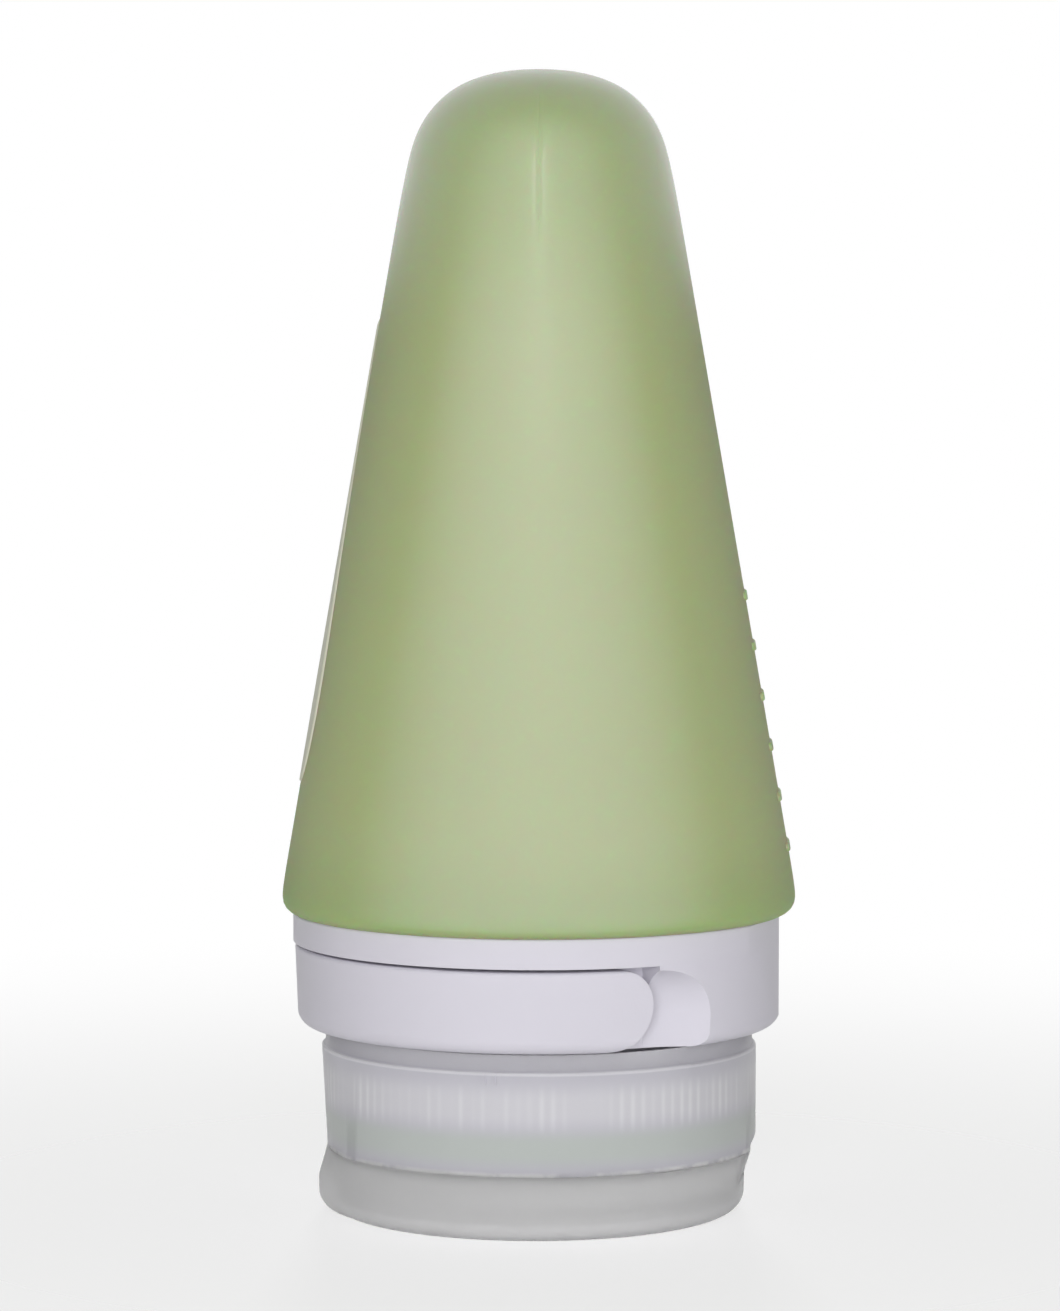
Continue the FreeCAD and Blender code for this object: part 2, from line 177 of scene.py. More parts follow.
def add_piece(name, mesh, finish):
    """A piece of the object at the origin, with faces that point outwards, smooth, and one finish."""
    shape = bmesh.new()
    shape.from_mesh(mesh)
    bmesh.ops.recalc_face_normals(shape, faces=shape.faces)
    shape.to_mesh(mesh)
    shape.free()
    mesh.name = name
    mesh.shade_smooth()
    mesh.materials.clear()
    mesh.materials.append(finish)
    mesh.polygons.foreach_set("material_index", [0] * len(mesh.polygons))
    piece = bpy.data.objects.new(name, mesh)
    bpy.context.scene.collection.objects.link(piece)
    return piece


def thread_tree():
    """One closed ridge of right-hand helix, whose section from foot to crest and back fades at its ends."""
    sizes = ["Radius", "Reach", "Pitch", "Turns", "Start", "Foot", "Crest", "Sink"]
    wire, size = start_tree("thread", [("Finish", "Material")] + [(label, "Float") for label in sizes])
    grid = wire.node("GeometryNodeMeshGrid", {}, {"Size X": 1.0, "Size Y": 1.0,
                                                  "Vertices X": 361, "Vertices Y": 5})
    along = wire.node("ShaderNodeSeparateXYZ", {}, {"Vector": grid.out("UV Map")})
    corner = along.out("Y") * 4.0
    on_crest = corner.maths("COMPARE", corner, 1.5)
    on_crest.socket.node.inputs[2].default_value = 0.6
    upper = corner.maths("COMPARE", corner, 2.5)
    upper.socket.node.inputs[2].default_value = 0.6
    ends = along.ramp(0.0, 0.06) * (1.0 - along.ramp(0.94, 1.0))
    proud = (size["Reach"] + size["Sink"]) * on_crest * ends - size["Sink"]
    half = (size["Foot"] - (size["Foot"] - size["Crest"]) * on_crest) * 0.5 * ends
    radius = size["Radius"] + proud
    turn = along * size["Turns"] * math.tau
    height = size["Start"] + along * size["Turns"] * size["Pitch"] + half * (2.0 * upper - 1.0)
    spot = wire.node("ShaderNodeCombineXYZ", {}, {"X": radius * turn.maths("COSINE", turn),
                                                  "Y": radius * turn.maths("SINE", turn), "Z": height})
    shape = wire.node("GeometryNodeSetPosition", {}, {"Geometry": grid, "Position": spot})
    shape = wire.node("GeometryNodeMergeByDistance", {}, {"Geometry": shape, "Distance": 0.000001})
    end_tree(wire, shape, size["Finish"])
    return wire


satin_pale = moulded_plastic("satin_pale", (0.70, 0.68, 0.75), 0.42)
dress("neck_insert", satin_pale)

neck_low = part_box("neck_insert")[0]
neck_radius = 0.0149
thread_pitch = 0.0035
thread_reach = 0.00095
thread_sink = 0.0003
thread_start = neck_low.z + 0.0011
thread_sizes = {"Pitch": thread_pitch, "Turns": 1.5, "Foot": 0.0016, "Crest": 0.0007, "Sink": thread_sink}
thread = thread_tree()
neck_thread = grow("neck_thread", thread, dict(thread_sizes, Finish=satin_pale, Radius=neck_radius,
                                               Reach=thread_reach, Start=thread_start))
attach(neck_thread, "bottle")

# Silicone tube: the soft body of the bottle, liquid silicone moulded in one piece over a core.
# It is round at its mouth, where a thick lip seats on the collar, and oval at its closed end.
# Its skin is a profile of half thickness, half width and height, swept round the axis by a node tree.


def soft_silicone(name, colour, deep, roughness, scatter, gloss):
    """Translucent silicone: light spreads in the wall, which is deeper in colour where it is thick.

    A satin sheen lies where the skin is seen square on, and the closed end has a clearer polish.
    """
    finish, wire = start_finish(name)
    place = wire.node("ShaderNodeTexCoord", out="Object")
    cloud = grain(wire, place, 0.02, 2.0)
    skin = grain(wire, place, 0.0004, 2.0)
    height = wire.node("ShaderNodeSeparateXYZ", {}, {"Vector": place}).out("Z")
    thick = 1.0 - height.ramp(tube_low.z, tube_low.z + thick_end)
    polish = height.ramp(tube_high.z - polish_start, tube_high.z - polish_full)
    base = wire.node("ShaderNodeRGB")
    base.socket.default_value = list(colour) + [1.0]
    relief = wire.node("ShaderNodeBump", {}, {"Strength": 0.1, "Distance": 0.00005, "Height": skin})
    # The colour is also drawn deeper towards the closed end, over the same heights as its polish.
    surface = wire.node("ShaderNodeBsdfPrincipled", {}, {
        "Base Color": base.tint(thick * 0.7 + polish * 0.5 + cloud * 0.12, list(deep) + [1.0]),
        "Roughness": cloud * 0.08 + (roughness - 0.04), "IOR": 1.43, "Specular IOR Level": 0.05,
        "Coat Weight": polish * 0.85, "Coat Roughness": 0.2,
        "Subsurface Weight": 1.0, "Subsurface Radius": (0.045, 1.0, 0.15), "Subsurface Scale": scatter,
        "Normal": relief})
    facing = wire.node("ShaderNodeLayerWeight", {}, {"Blend": 0.5}, "Facing")
    shine = wire.node("ShaderNodeBsdfPrincipled", {}, {
        "Base Color": (1.0, 0.97, 1.0, 1.0), "Metallic": 1.0, "Roughness": 0.5})
    skin_gloss = (1.0 - facing.ramp(0.0, 0.38)) * (1.0 - polish * 0.35) * gloss
    mixed = wire.node("ShaderNodeMixShader", {}, {0: skin_gloss, 1: surface, 2: shine})
    wire.node("ShaderNodeOutputMaterial", {}, {"Surface": mixed})
    return finish


tube_low, tube_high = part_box("silicone_tube")
tube_radius = 0.023
thick_end = 0.009
polish_start = 0.026
polish_full = 0.008
lip_tuck = 0.00075
lip_swell = 0.0002
lip_rise = 0.0004
lip_foot = 0.002
lip_end = 0.005
lip_height = 0.0026
end_half_thickness = 0.01185
end_half_width = 0.0186
end_width_ease = 0.0004
crown_height = 0.0085
width_crown_height = 0.0165
shoulder = (0.0033, 0.0104, 0.0162)
flat_top = (0.0055, 0.009)
tube_wall = 0.002
tube_end_wall = 0.0024
mouth_radius = neck_radius + 0.0001
flange_seat = tube_low.z + 0.0025
side_rows = 3
crown_start = tube_high.z - crown_height


def side_row(height, inset):
    """Half thickness, half width and height of the straight side, inset from its outer skin."""
    widest = tube_low.z + lip_height
    share = (height - widest) / (crown_start - widest)
    return (tube_radius + share * (end_half_thickness - tube_radius) - inset,
            tube_radius + share * (end_half_width - tube_radius) - inset, height)


def side_heights(bottom):
    """Heights of the side's control rows."""
    reach = tube_high.z - width_crown_height - bottom
    return [bottom + reach * row / side_rows for row in range(side_rows + 1)]


def crown_rows(inset, top):
    """Control rows of the closed end."""
    return [(end_half_thickness - inset, end_half_width - end_width_ease - inset, crown_start),
            (shoulder[1] - inset, shoulder[2] - inset, top - shoulder[0]),
            (flat_top[0], flat_top[1], top), (0.0, 0.0, top)]


lip_radius = tube_radius - lip_tuck
swell_radius = tube_radius + lip_swell
outer_rows = [(lip_radius, lip_radius, tube_low.z), (swell_radius, swell_radius, tube_low.z + lip_rise),
              side_row(tube_low.z + lip_foot, 0.0)]
outer_rows += [side_row(height, 0.0) for height in side_heights(tube_low.z + lip_end)]
outer_rows += crown_rows(0.0, tube_high.z)
inner_rows = [side_row(height, tube_wall) for height in side_heights(flange_seat)]
inner_rows += crown_rows(tube_wall, tube_high.z - tube_end_wall)
mouth_rows = [(lip_radius, lip_radius, tube_low.z), (mouth_radius, mouth_radius, tube_low.z),
              (mouth_radius, mouth_radius, flange_seat), inner_rows[0]]


def profile(name, rows, order, closed=False):
    """A curve over control rows, as a start for the skin's node tree."""
    line = bpy.data.curves.new(name, "CURVE")
    line.dimensions = "3D"
    spline = line.splines.new("NURBS")
    spline.points.add(len(rows) - 1)
    for point, row in zip(spline.points, rows):
        point.co = row + (1.0,)
    spline.order_u = order
    spline.use_endpoint_u = not closed
    spline.use_cyclic_u = closed
    spline.resolution_u = 40
    return bpy.data.objects.new(name, line)


seam_half = 0.005
seam_rise = 0.00001
seam_start = 0.017
seam_full = 0.013


def skin_tree():
    """Sweeps a profile of half thickness, half width and height round the axis.

    Near the crown it can stand proud in the middle of its sweep, as a seam.
    """
    wire, size = start_tree("skin", [("Profile", "Geometry"), ("Finish", "Material"), ("Rings", "Int"),
                                     ("Columns", "Int"), ("From", "Float"), ("To", "Float"),
                                     ("Bearing", "Float"), ("Sweep", "Float"), ("Proud", "Float")])
    grid = wire.node("GeometryNodeMeshGrid", {}, {"Size X": 1.0, "Size Y": 1.0, "Vertices X": size["Columns"],
                                                  "Vertices Y": size["Rings"]})
    across = wire.node("ShaderNodeSeparateXYZ", {}, {"Vector": grid.out("UV Map")})
    share = size["From"] + across.out("Y") * (size["To"] - size["From"])
    row = wire.node("GeometryNodeSampleCurve", {"mode": "FACTOR", "use_all_curves": True},
                    {"Curves": size["Profile"], "Factor": share}, "Position")
    half = wire.node("ShaderNodeSeparateXYZ", {}, {"Vector": row})
    crown = half.out("Z").ramp(tube_high.z - seam_start, tube_high.z - seam_full)
    ridge = size["Proud"] * across * (1.0 - across) * 4.0 * half.ramp(0.0, 0.004) * crown
    turn = size["Bearing"] + across * size["Sweep"]
    spot = wire.node("ShaderNodeCombineXYZ", {}, {"X": (half + ridge) * turn.maths("COSINE", turn),
                                                  "Y": (half.out("Y") + ridge) * turn.maths("SINE", turn),
                                                  "Z": half.out("Z")})
    shape = wire.node("GeometryNodeSetPosition", {}, {"Geometry": grid, "Position": spot})
    shape = wire.node("GeometryNodeMergeByDistance", {}, {"Geometry": shape, "Distance": 0.000001})
    end_tree(wire, shape, size["Finish"])
    return wire


soft_green = soft_silicone("soft_green", (0.42, 0.48, 0.24), (0.34, 0.43, 0.19), 0.6, 0.004, 0.15)
skin = skin_tree()
quarter = math.pi / 2
half_turn = {"Finish": soft_green, "Rings": 200, "Columns": 129, "From": 0.0, "To": 1.0,
             "Sweep": math.pi - 2 * seam_half, "Proud": 0.0}
seam_strip = dict(half_turn, Columns=7, Sweep=2 * seam_half, Proud=seam_rise)
skins = []
for bearing in (-quarter, quarter):
    skins.append(grow("skin_half", skin, dict(half_turn, Bearing=bearing + seam_half),
                      profile("outer", outer_rows, 4)))
    skins.append(grow("skin_seam", skin, dict(seam_strip, Bearing=bearing - seam_half),
                      profile("outer", outer_rows, 4)))
whole_turn = dict(half_turn, Columns=257, Bearing=quarter + seam_half, Sweep=math.tau)
mouth_skin = grow("mouth_skin", skin, dict(whole_turn, Rings=25), profile("mouth", mouth_rows, 2))
inner_skin = grow("inner_skin", skin, dict(whole_turn, Rings=100), profile("inner", inner_rows, 4))


def joined(name, parts):
    """One closed piece from skins that meet at their rims."""
    shape = bmesh.new()
    for part in parts:
        shape.from_mesh(part.data)
        finish = part.data.materials[0]
        bpy.data.objects.remove(part)
    bmesh.ops.remove_doubles(shape, verts=shape.verts, dist=0.000002)
    bmesh.ops.recalc_face_normals(shape, faces=shape.faces)
    mesh = bpy.data.meshes.new(name)
    shape.to_mesh(mesh)
    shape.free()
    return add_piece(name, mesh, finish)


tube = joined("soft_tube", skins + [mouth_skin, inner_skin])
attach(tube, "bottle")
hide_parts("silicone_tube")

# Side panel and level bars: a bare pale panel in a long drop on one side, and plain bars on the other side.
# The bars are of the same silicone, polished in the mould, and the panel's pale colour is a painted sheen.
# Each is drawn flat, set out along the height and bent round the tube, and lets light through to the wall.


def patch_tree():
    """Closed raised patches, one above the other, each drawn by its width along its height."""
    sizes = ["Low", "Height", "Spacing", "Half Width", "Foot Power", "Top Power", "Edge", "Reach", "Sink",
             "Bearing", "Wall Low", "Wall High", "Low Radius", "High Thickness", "High Width"]
    inputs = [("Finish", "Material"), ("Count", "Int")] + [(name, "Float") for name in sizes]
    wire, size = start_tree("patch", inputs)
    faces = []
    for raised in (1.0, 0.0):
        grid = wire.node("GeometryNodeMeshGrid", {}, {"Size X": 2.0, "Size Y": 1.0, "Vertices X": 33,
                                                      "Vertices Y": 97})
        place = wire.node("ShaderNodeSeparateXYZ", {}, {"Vector": grid.out("UV Map")})
        across = place * 2.0 - 1.0
        along = place.out("Y")
        foot = along.maths("POWER", along, size["Foot Power"])
        width = foot * along.maths("POWER", 1.0 - along, size["Top Power"]) * size["Half Width"]
        inside = (1.0 - across.maths("ABSOLUTE", across)) * width
        ends = along.maths("MINIMUM", along, 1.0 - along) * size["Height"]
        step = wire.node("ShaderNodeMapRange", {"interpolation_type": "SMOOTHSTEP"}, {
            "Value": inside.maths("MINIMUM", inside, ends), "From Min": 0.0, "From Max": size["Edge"]})
        rise = step * (size["Reach"] + size["Sink"]) * raised - size["Sink"]
        flat = wire.node("ShaderNodeCombineXYZ", {}, {"X": rise, "Y": across * width,
                                                      "Z": size["Low"] + along * size["Height"]})
        faces.append(wire.node("GeometryNodeSetPosition", {}, {"Geometry": grid, "Position": flat}))
    both = wire.node("GeometryNodeJoinGeometry", {}, {"Geometry": faces[0]})
    wire.tree.links.new(faces[1].socket, both.socket.node.inputs["Geometry"])
    patch = wire.node("GeometryNodeMergeByDistance", {}, {"Geometry": both, "Distance": 0.0000005})
    step_up = wire.node("ShaderNodeCombineXYZ", {}, {"Z": size["Spacing"]})
    places = wire.node("GeometryNodeMeshLine", {}, {"Count": size["Count"], "Offset": step_up})
    row = wire.node("GeometryNodeInstanceOnPoints", {}, {"Points": places, "Instance": patch})
    row = wire.node("GeometryNodeRealizeInstances", {}, {"Geometry": row})
    spot = wire.node("ShaderNodeSeparateXYZ", {}, {"Vector": wire.node("GeometryNodeInputPosition")})
    height = spot.out("Z")
    share = wire.node("ShaderNodeMapRange", {"clamp": False}, {"Value": height, "From Min": size["Wall Low"],
                                                               "From Max": size["Wall High"]})
    thickness = size["Low Radius"] + share * (size["High Thickness"] - size["Low Radius"])
    width = size["Low Radius"] + share * (size["High Width"] - size["Low Radius"])
    turn = spot.maths("DIVIDE", spot.out("Y"), width) + size["Bearing"]
    bent = wire.node("ShaderNodeCombineXYZ", {}, {"X": (thickness + spot) * turn.maths("COSINE", turn),
                                                  "Y": (width + spot) * turn.maths("SINE", turn),
                                                  "Z": height})
    row = wire.node("GeometryNodeSetPosition", {}, {"Geometry": row, "Position": bent})
    end_tree(wire, row, size["Finish"])
    return wire


polished_green = soft_silicone("polished_green", (0.45, 0.56, 0.26), (0.40, 0.51, 0.22), 0.45, 0.00015, 0.15)
patch = patch_tree()
tube_wall_sizes = {"Wall Low": tube_low.z + lip_height, "Wall High": crown_start, "Low Radius": tube_radius,
                   "High Thickness": end_half_thickness, "High Width": end_half_width}
panel_sizes = dict(tube_wall_sizes, Count=1, Low=0.0385, Height=0.0435, Spacing=0.0, Edge=0.00035,
                   Reach=0.00016, Sink=0.0004, Bearing=math.pi)
panel_sizes.update({"Half Width": 0.0113, "Foot Power": 0.3, "Top Power": 1.2})
# Painted sheen: the panel's pale colour stands for the white sheen along its edge.
sheen_pale_panel = moulded_plastic("sheen_pale_panel", (0.70, 0.71, 0.56), 0.5)
tube_panel = grow("tube_panel", patch, dict(panel_sizes, Finish=sheen_pale_panel))
tube_panel.visible_shadow = False
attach(tube_panel, "bottle")

bar_sizes = dict(panel_sizes, Count=6, Low=0.0325, Height=0.0011, Spacing=0.0045, Edge=0.00022, Reach=0.0002,
                 Bearing=0.0)
bar_sizes.update({"Half Width": 0.0046, "Foot Power": 0.12, "Top Power": 0.12})
tube_bars = grow("tube_bars", patch, dict(bar_sizes, Finish=polished_green))
tube_bars.visible_shadow = False
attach(tube_bars, "bottle")

# Collar: the pale rigid ring that clamps the soft mouth on the neck, moulded in satin polypropylene.
# It has a recess for the loop, a finger scoop beside the loop's tip and a flattened hinge side.
# The solid keeps its form here and takes the moulded finish.
dress("collar", satin_pale)

# Loop arm and its pin: a curved arm that lies in the collar's recess and swings out as a hanging loop.
# The arm is the same satin polypropylene, and turns on a plain pin pressed through two ears of the collar.
dress("loop_arm", satin_pale)
hinge_white = moulded_plastic("hinge_white", (0.72, 0.71, 0.70), 0.35)
dress("loop_hinge_pin", hinge_white)

# Thread ring: the ribbed inner ring of the cap, clear milky polypropylene, moulded with fine outer ribs.
# It is pressed into the shell, and its inner ridge runs on the neck's thread, half a pitch above it.


# Reach from the axis where the pale uneven edge line, partly scuff and partly painted highlight, begins and
# is full.
scuff_and_glint_start = 0.0168
scuff_and_glint_full = 0.0176


def milky_plastic(name, colour, roughness, scatter, painted_light_bands=(), edges=(), ribs=None):
    """Milky translucent polypropylene: a clouded wall, with bands of painted light and shade on it.

    The bands lie over heights and paint what shows through the wall and shade and highlight on it,
    the ribs are painted uneven light streaks of the ribs behind, and the edges carry a pale uneven line.
    """
    finish, wire = start_finish(name)
    place = wire.node("ShaderNodeTexCoord", out="Object")
    cloud = grain(wire, place, 0.008, 3.0)
    skin = grain(wire, place, 0.0003, 2.0)
    spot = wire.node("ShaderNodeSeparateXYZ", {}, {"Vector": place})
    height = spot.out("Z")
    base = wire.node("ShaderNodeRGB")
    base.socket.default_value = list(colour) + [1.0]
    shade = [channel * 0.94 for channel in colour] + [1.0]
    tone = base.tint(cloud, shade)
    rough = cloud * 0.1 + (roughness - 0.05)
    flat = wire.node("ShaderNodeCombineXYZ", {}, {"X": spot, "Y": spot.out("Y")})
    reach = wire.node("ShaderNodeVectorMath", {"operation": "LENGTH"}, {0: flat}, "Value")
    outside = reach.ramp(scuff_and_glint_start, scuff_and_glint_full)
    # Painted light and shade: bands of colour over heights stand for what shows through the wall and for
    # shade and highlight on it.
    for low, high, fade, share, painted_tone in painted_light_bands:
        tone = tone.tint(height.between(low, high, fade) * share, painted_tone + (1.0,))
    # Painted light: pale uneven streaks stand for the ribs of the ring behind, where they show through.
    if ribs:
        count, centre, low, high = ribs
        turn = spot.maths("ARCTAN2", spot.out("Y"), spot) * count - centre * math.tau
        wave = turn.maths("COSINE", turn) * 0.5 + 0.5
        clear = grain(wire, flat, 0.006, 1.0).ramp(0.35, 0.6) * grain(wire, flat, 0.0014, 1.0).ramp(0.3, 0.65)
        clear = clear * height.between(low, high, 0.002)
        tone = tone.tint(wave * wave * clear * 0.5, (0.93, 0.93, 0.96, 1.0))
    # A pale uneven line along each edge: partly scuff, partly painted edge highlight; it is rougher there.
    for level in edges:
        offset = height - level
        near = 1.0 - offset.maths("ABSOLUTE", offset).ramp(0.0001, 0.0005)
        scuff_and_glint = near * outside * grain(wire, place, 0.003, 4.0).ramp(0.36, 0.58)
        tone = tone.tint(scuff_and_glint * 0.8, (0.97, 0.97, 0.97, 1.0))
        rough = rough + scuff_and_glint * 0.2
    relief = wire.node("ShaderNodeBump", {}, {"Strength": 0.15, "Distance": 0.00004, "Height": skin})
    surface = wire.node("ShaderNodeBsdfPrincipled", {}, {
        "Base Color": tone, "Roughness": rough, "IOR": 1.46, "Specular IOR Level": 0.2, "Alpha": 0.9,
        "Subsurface Weight": 1.0, "Subsurface Radius": (1.0, 1.0, 1.0), "Subsurface Scale": scatter,
        "Normal": relief})
    wire.node("ShaderNodeOutputMaterial", {}, {"Surface": surface})
    return finish


milky_ring = milky_plastic("milky_ring", (0.80, 0.80, 0.83), 0.3, 0.001)
dress("thread_insert", milky_ring)
insert_bore = neck_radius + 0.0012
insert_sizes = dict(thread_sizes, Finish=milky_ring, Radius=insert_bore, Turns=0.8, Reach=-thread_reach,
                    Sink=-thread_sink, Start=thread_start + thread_pitch / 2)
insert_thread = grow("insert_thread", thread, insert_sizes)
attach(insert_thread, "cap")

# Sealing ring: a flat ring of the same green silicone with two rounded lips, moulded, in the cap's deck.
# The neck's end presses on its lips when the cap is screwed home.
seal_low, seal_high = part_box("cap_gasket")
seal_inner = 0.0124
lip_width = 0.0011
lip_depth = 0.0003
groove = seal_high.z - lip_depth
groove_inner = seal_inner + lip_width
groove_outer = seal_high.x - lip_width
seal_section = [(seal_inner, seal_low.z), (seal_inner, seal_high.z), (groove_inner, seal_high.z),
                (groove_inner, groove), (groove_outer, groove), (groove_outer, seal_high.z),
                (seal_high.x, seal_high.z), (seal_high.x, seal_low.z)]
seal_rows = [(radius, radius, height) for radius, height in seal_section]
seal_ring = grow("seal_ring", skin, dict(whole_turn, Finish=polished_green, Rings=65, Columns=193),
                 profile("seal", seal_rows, 3, True))
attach(seal_ring, "cap_seal")
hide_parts("cap_gasket")

# Slit valve and its retainer: a thin domed cup of green silicone whose cross slit opens under pressure.
# Its flange lies in the deck's seat, under a pressed-in ring of milky polypropylene.
valve_low, valve_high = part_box("no_drip_valve")
valve_stem = 0.0049
valve_wall = 0.0007
valve_flange = valve_high.z - 0.0008
valve_dome = 0.0005
valve_skin = 0.0006
slit_reach = 0.0036
slit_width = 0.00016
dome_half = 0.0022
rim_half = valve_stem - 0.0012
rim_round = 0.0004
dome_outer = valve_low.z + valve_dome
dome_inner = dome_outer + valve_skin
valve_bore = valve_stem - valve_wall
valve_section = [(0.0, dome_outer), (dome_half, dome_outer), (rim_half, valve_low.z),
                 (valve_stem, valve_low.z), (valve_stem, valve_low.z + rim_round),
                 (valve_stem, valve_flange), (valve_stem, valve_flange),
                 (valve_high.x, valve_flange), (valve_high.x, valve_flange),
                 (valve_high.x, valve_high.z), (valve_high.x, valve_high.z),
                 (valve_bore, valve_high.z), (valve_bore, valve_high.z),
                 (valve_bore, valve_low.z + valve_skin), (dome_half, dome_inner), (0.0, dome_inner)]
valve_rows = [(radius, radius, height) for radius, height in valve_section]
valve_body = grow("valve_body", skin, dict(whole_turn, Finish=polished_green, Rings=97, Columns=129),
                  profile("valve", valve_rows, 3))


def cross_cutter(reach, width, low, high):
    """Two thin crossed blades, as one start object for a cut."""
    shape = bmesh.new()
    for length, breadth in ((reach, width / 2), (width / 2, reach)):
        blade = bmesh.ops.create_cube(shape, size=1.0)["verts"]
        for corner in blade:
            corner.co = (corner.co.x * 2 * length, corner.co.y * 2 * breadth,
                         (low + high) / 2 + corner.co.z * (high - low))
    mesh = bpy.data.meshes.new("cross_cutter")
    shape.to_mesh(mesh)
    shape.free()
    return bpy.data.objects.new("cross_cutter", mesh)


def slit_open(name, body, cutter):
    """The body with the cutter taken out of it, as a plain piece."""
    bpy.context.scene.collection.objects.link(cutter)
    cut = body.modifiers.new("slit", "BOOLEAN")
    cut.operation = "DIFFERENCE"
    cut.solver = "EXACT"
    cut.use_self = True
    cut.object = cutter
    evaluated = body.evaluated_get(bpy.context.evaluated_depsgraph_get())
    mesh = bpy.data.meshes.new_from_object(evaluated)
    finish = body.data.materials[0]
    bpy.data.objects.remove(body)
    bpy.data.objects.remove(cutter)
    return add_piece(name, mesh, finish)


slit_margin = 0.001
slit_cutter = cross_cutter(slit_reach, slit_width, valve_low.z - slit_margin, valve_high.z + slit_margin)
slit_valve = slit_open("slit_valve", valve_body, slit_cutter)
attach(slit_valve, "cap")
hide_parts("no_drip_valve")
dress("valve_retainer", milky_ring)

# Cap shell: the smooth outer cap, milky polypropylene, moulded with its deck, outlet and thumb recess.
# The ribbed ring and the green seal show through it only as painted light, with a painted bright band,
# painted shade on the rim band under the collar and a painted highlight at its edge; two ticks mark its turn.
# It is a copy of the solid, with the hinge's lugs drawn in, and a pale uneven line along the parting line
# with the lid.
shell_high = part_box("cap_shell")[1]
cap_bottom = 0.00595
cap_radius = 0.0196
band_bottom = shell_high.z - 0.0015
# Painted light and shade on the shell: the green seal's glow through the wall, a bright band where the lit
# neck shows through, shade on the rim band under the collar, a highlight at that band's edge, and streaks of
# the ring's ribs.
painted_seal_glow = (seal_low.z - 0.0014, seal_high.z + 0.0016, 0.0018, 0.8, (0.56, 0.605, 0.565))
painted_bright_band = (seal_high.z, band_bottom, 0.0025, 0.75, (0.75, 0.74, 0.785))
painted_rim_shade = (band_bottom, 1.0, 0.0002, 1.0, (0.64, 0.63, 0.68))
painted_rim_highlight = (band_bottom - 0.00035, band_bottom + 0.0001, 0.00015, 0.5, (0.88, 0.87, 0.91))
painted_rib_streak_sizes = (120.0, 0.225, seal_high.z + 0.0003, band_bottom - 0.0008)
milky_shell = milky_plastic("milky_shell", (0.60, 0.59, 0.65), 0.32, 0.003,
                            [painted_seal_glow, painted_bright_band, painted_rim_shade, painted_rim_highlight], [cap_bottom], painted_rib_streak_sizes)
hinge_half = 0.0052
hinge_low = 0.0033
hinge_foot = 0.01755
hinge_top = 0.00675
hair = 0.00001


def reshaped(name, node, finish, levels, rule):
    """The node's solid as a piece, cut at some heights and with each corner put where the rule says."""
    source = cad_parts[node]
    shape = bmesh.new()
    shape.from_mesh(source.data)
    shape.transform(source.matrix_world)
    bmesh.ops.remove_doubles(shape, verts=shape.verts, dist=0.000001)
    for level in levels:
        bmesh.ops.bisect_plane(shape, geom=shape.verts[:] + shape.edges[:] + shape.faces[:], dist=0.000001,
                               plane_co=(0.0, 0.0, level), plane_no=(0.0, 0.0, 1.0))
    for corner in shape.verts:
        corner.co = rule(corner.co)
    mesh = bpy.data.meshes.new(name)
    shape.to_mesh(mesh)
    shape.free()
    piece = add_piece(name, mesh, finish)
    piece.data.set_sharp_from_angle(angle=math.radians(35.0))
    return piece


def draw_in_hinge(spot):
    """Brings what lies outside a cone at the lid's hinge in to it, so that it follows the lid's flare."""
    reach = hinge_foot + (cap_radius - hinge_foot) * spot.z / hinge_top
    across = math.hypot(spot.x, spot.y)
    at_hinge = spot.x > 0.0 and abs(spot.y) < hinge_half and hinge_low < spot.z < cap_bottom - hair
    if at_hinge and across > reach:
        return Vector((spot.x * reach / across, spot.y * reach / across, spot.z))
    return spot


shell_body = reshaped("shell_body", "cap_shell", milky_shell, [], draw_in_hinge)
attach(shell_body, "cap")
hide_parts("cap_shell")
tick_turns = (0.237, 0.191)
tick_sizes = dict(panel_sizes, Finish=satin_pale, Low=band_bottom - 0.0012, Height=0.0010, Edge=0.00008,
                  Reach=0.00008, Sink=0.0001)
tick_sizes.update({"Half Width": 0.00011, "Foot Power": 0.2, "Top Power": 0.2, "Low Radius": cap_radius,
                   "High Thickness": cap_radius, "High Width": cap_radius})
ticks = [grow("tick", patch, dict(tick_sizes, Bearing=-quarter - turn)) for turn in tick_turns]
cap_ticks = joined("cap_ticks", ticks)
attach(cap_ticks, "cap")

# Flip lid and its pin: the shallow milky lid that the bottle stands on, with a plug ring for the outlet and
# a lip on the left to lift it. It turns on a plain pin between two lugs of the shell.
# It is a copy of the solid, with a rounder lower edge and a rim that comes up to the shell.
lid_top = 0.0058
# Painted light: the lid is lighter towards its foot, near the floor; its rim's top edge carries the pale
# uneven edge line.
painted_foot_light = (-0.001, 0.0016, 0.001, 0.6, (0.98, 0.97, 1.0))
milky_lid = milky_plastic("milky_lid", (0.98, 0.95, 1.0), 0.36, 0.009, [painted_foot_light], [lid_top])
lid_offset = -0.00035
lid_cavity = 0.0177
cad_round = 0.0007
foot_round = 0.0018
foot_rings = 9
rim_lift = 0.0001
rim_end = 0.01


def edge_inset(radius, height):
    """How far an edge of this round lies inside its upright side at a height over the floor."""
    drop = max(radius - height, 0.0)
    return radius - math.sqrt(radius ** 2 - drop ** 2)


def soften_foot(spot):
    """Draws the lid's lower edge in to a larger round, and its rim up to the shell, away from the hinge."""
    outward = Vector((spot.x - lid_offset, spot.y, 0.0))
    if spot.z < foot_round and outward.length > lid_cavity:
        height = max(spot.z, 0.0)
        return spot - outward.normalized() * (edge_inset(foot_round, height) - edge_inset(cad_round, height))
    if spot.z > lid_top - hair and spot.x < rim_end:
        return spot + Vector((0.0, 0.0, rim_lift))
    return draw_in_hinge(spot)


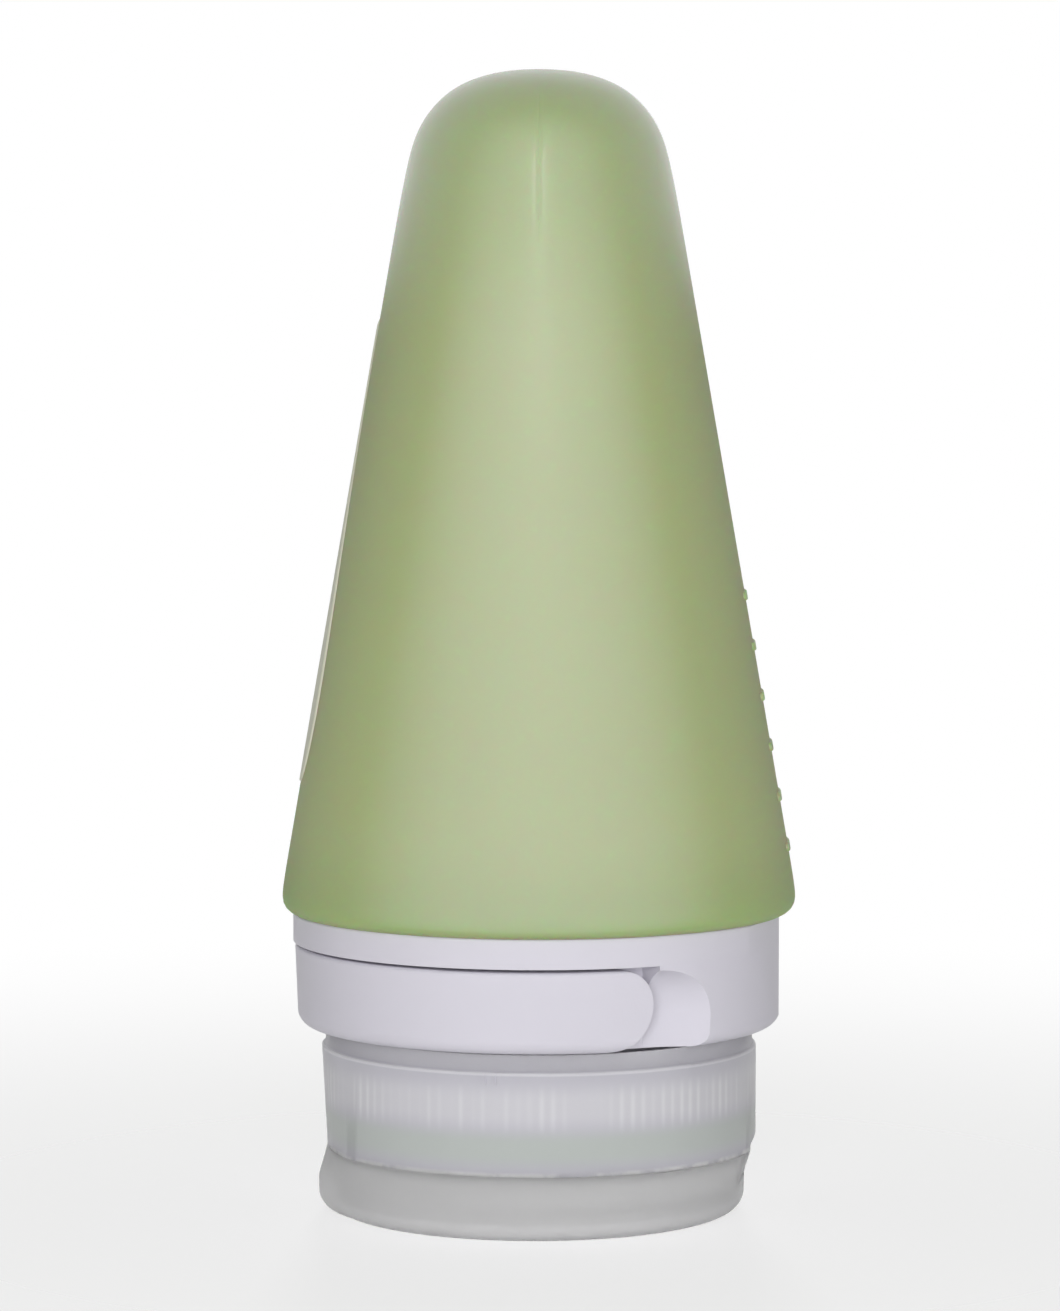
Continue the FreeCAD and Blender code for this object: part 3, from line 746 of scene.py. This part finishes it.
foot_levels = [foot_round * ring / foot_rings for ring in range(1, foot_rings + 1)]
lid_body = reshaped("lid_body", "flip_lid", milky_lid, foot_levels, soften_foot)
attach(lid_body, "lid")
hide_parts("flip_lid")
dress("lid_hinge_pin", hinge_white)

# Studio: soft light from the front, the top and behind, a card that only shows as gloss, an even surround,
# and a plain pale floor that keeps the shadow. A piece that swings below the floor is seen through it.


def white_for_camera(wire):
    """Share of a ray that should see plain white: the camera's own, or one mirrored or through a wall."""
    ray = wire.node("ShaderNodeLightPath", out="Is Camera Ray")
    seen = ray.maths("MAXIMUM", ray, ray.out("Is Glossy Ray"))
    return seen.maths("MAXIMUM", seen, ray.out("Is Transmission Ray"))


surround_level = 0.24
world = bpy.data.worlds.new("surround")
world.use_nodes = True
world.node_tree.nodes.clear()
wire = Wire(world.node_tree)
level = white_for_camera(wire) * (1.0 - surround_level) + surround_level
glow = wire.node("ShaderNodeBackground", {}, {"Color": (1.0, 1.0, 1.0, 1.0), "Strength": level})
wire.node("ShaderNodeOutputWorld", {}, {"Surface": glow})
bpy.context.scene.world = world

floor_half = 3.0
shadow_near = 0.03
shadow_far = 0.2
shadow_share = 0.3
floor_mesh = bpy.data.meshes.new("floor")
floor_mesh.from_pydata([(-floor_half, -floor_half, 0), (floor_half, -floor_half, 0),
                        (floor_half, floor_half, 0), (-floor_half, floor_half, 0)], [], [(0, 1, 2, 3)])
floor = bpy.data.objects.new("floor", floor_mesh)
bpy.context.scene.collection.objects.link(floor)
floor_finish, wire = start_finish("floor_finish")
place = wire.node("ShaderNodeTexCoord", out="Object")
reach = wire.node("ShaderNodeVectorMath", {"operation": "LENGTH"}, {0: place}, "Value")
plain = white_for_camera(wire) * (reach.ramp(shadow_near, shadow_far) * shadow_share + (1.0 - shadow_share))
plain = plain.maths("MAXIMUM", plain, wire.node("ShaderNodeNewGeometry", out="Backfacing"))
matt = wire.node("ShaderNodeBsdfDiffuse", {}, {"Color": (0.86, 0.86, 0.86, 1.0)})
clear = wire.node("ShaderNodeBsdfTransparent", {}, {"Color": (1.0, 1.0, 1.0, 1.0)})
mixed = wire.node("ShaderNodeMixShader", {}, {0: plain, 1: matt, 2: clear})
wire.node("ShaderNodeOutputMaterial", {}, {"Surface": mixed})
floor_mesh.materials.append(floor_finish)


def soft_light(name, place, aim, size, power, gloss_only=False):
    """A rectangular soft box that faces a point; a card for gloss is the only one that shines on a skin."""
    lamp = bpy.data.lights.new(name, "AREA")
    lamp.shape = "RECTANGLE"
    lamp.size, lamp.size_y = size
    lamp.energy = power
    holder = bpy.data.objects.new(name, lamp)
    holder.location = place
    holder.visible_camera = False
    holder.visible_diffuse = not gloss_only
    holder.visible_glossy = gloss_only
    holder.rotation_euler = (Vector(aim) - Vector(place)).to_track_quat("-Z", "Y").to_euler()
    bpy.context.scene.collection.objects.link(holder)


middle = (0.0, 0.0, 0.05)
soft_light("front_box", (0.0, -0.8, 0.07), middle, (0.4, 0.4), 6.8)
soft_light("top_box", (0.0, -0.15, 0.75), middle, (0.5, 0.5), 0.1)
soft_light("streak_box", (0.0, -0.54, 0.32), middle, (0.1, 0.22), 0.4, True)
soft_light("back_box", (0.0, 0.7, 0.1), middle, (0.12, 0.3), 5.6)

camera_data = bpy.data.cameras.new("camera")
camera_data.lens = 140.8
camera = bpy.data.objects.new("camera", camera_data)
camera.location = (0.0, -0.46, 0.083)
camera.rotation_euler = (Vector((-0.0008, 0.0, 0.05)) - camera.location).to_track_quat("-Z", "Y").to_euler()
bpy.context.scene.collection.objects.link(camera)
bpy.context.scene.camera = camera
bpy.context.scene.view_settings.view_transform = "Standard"
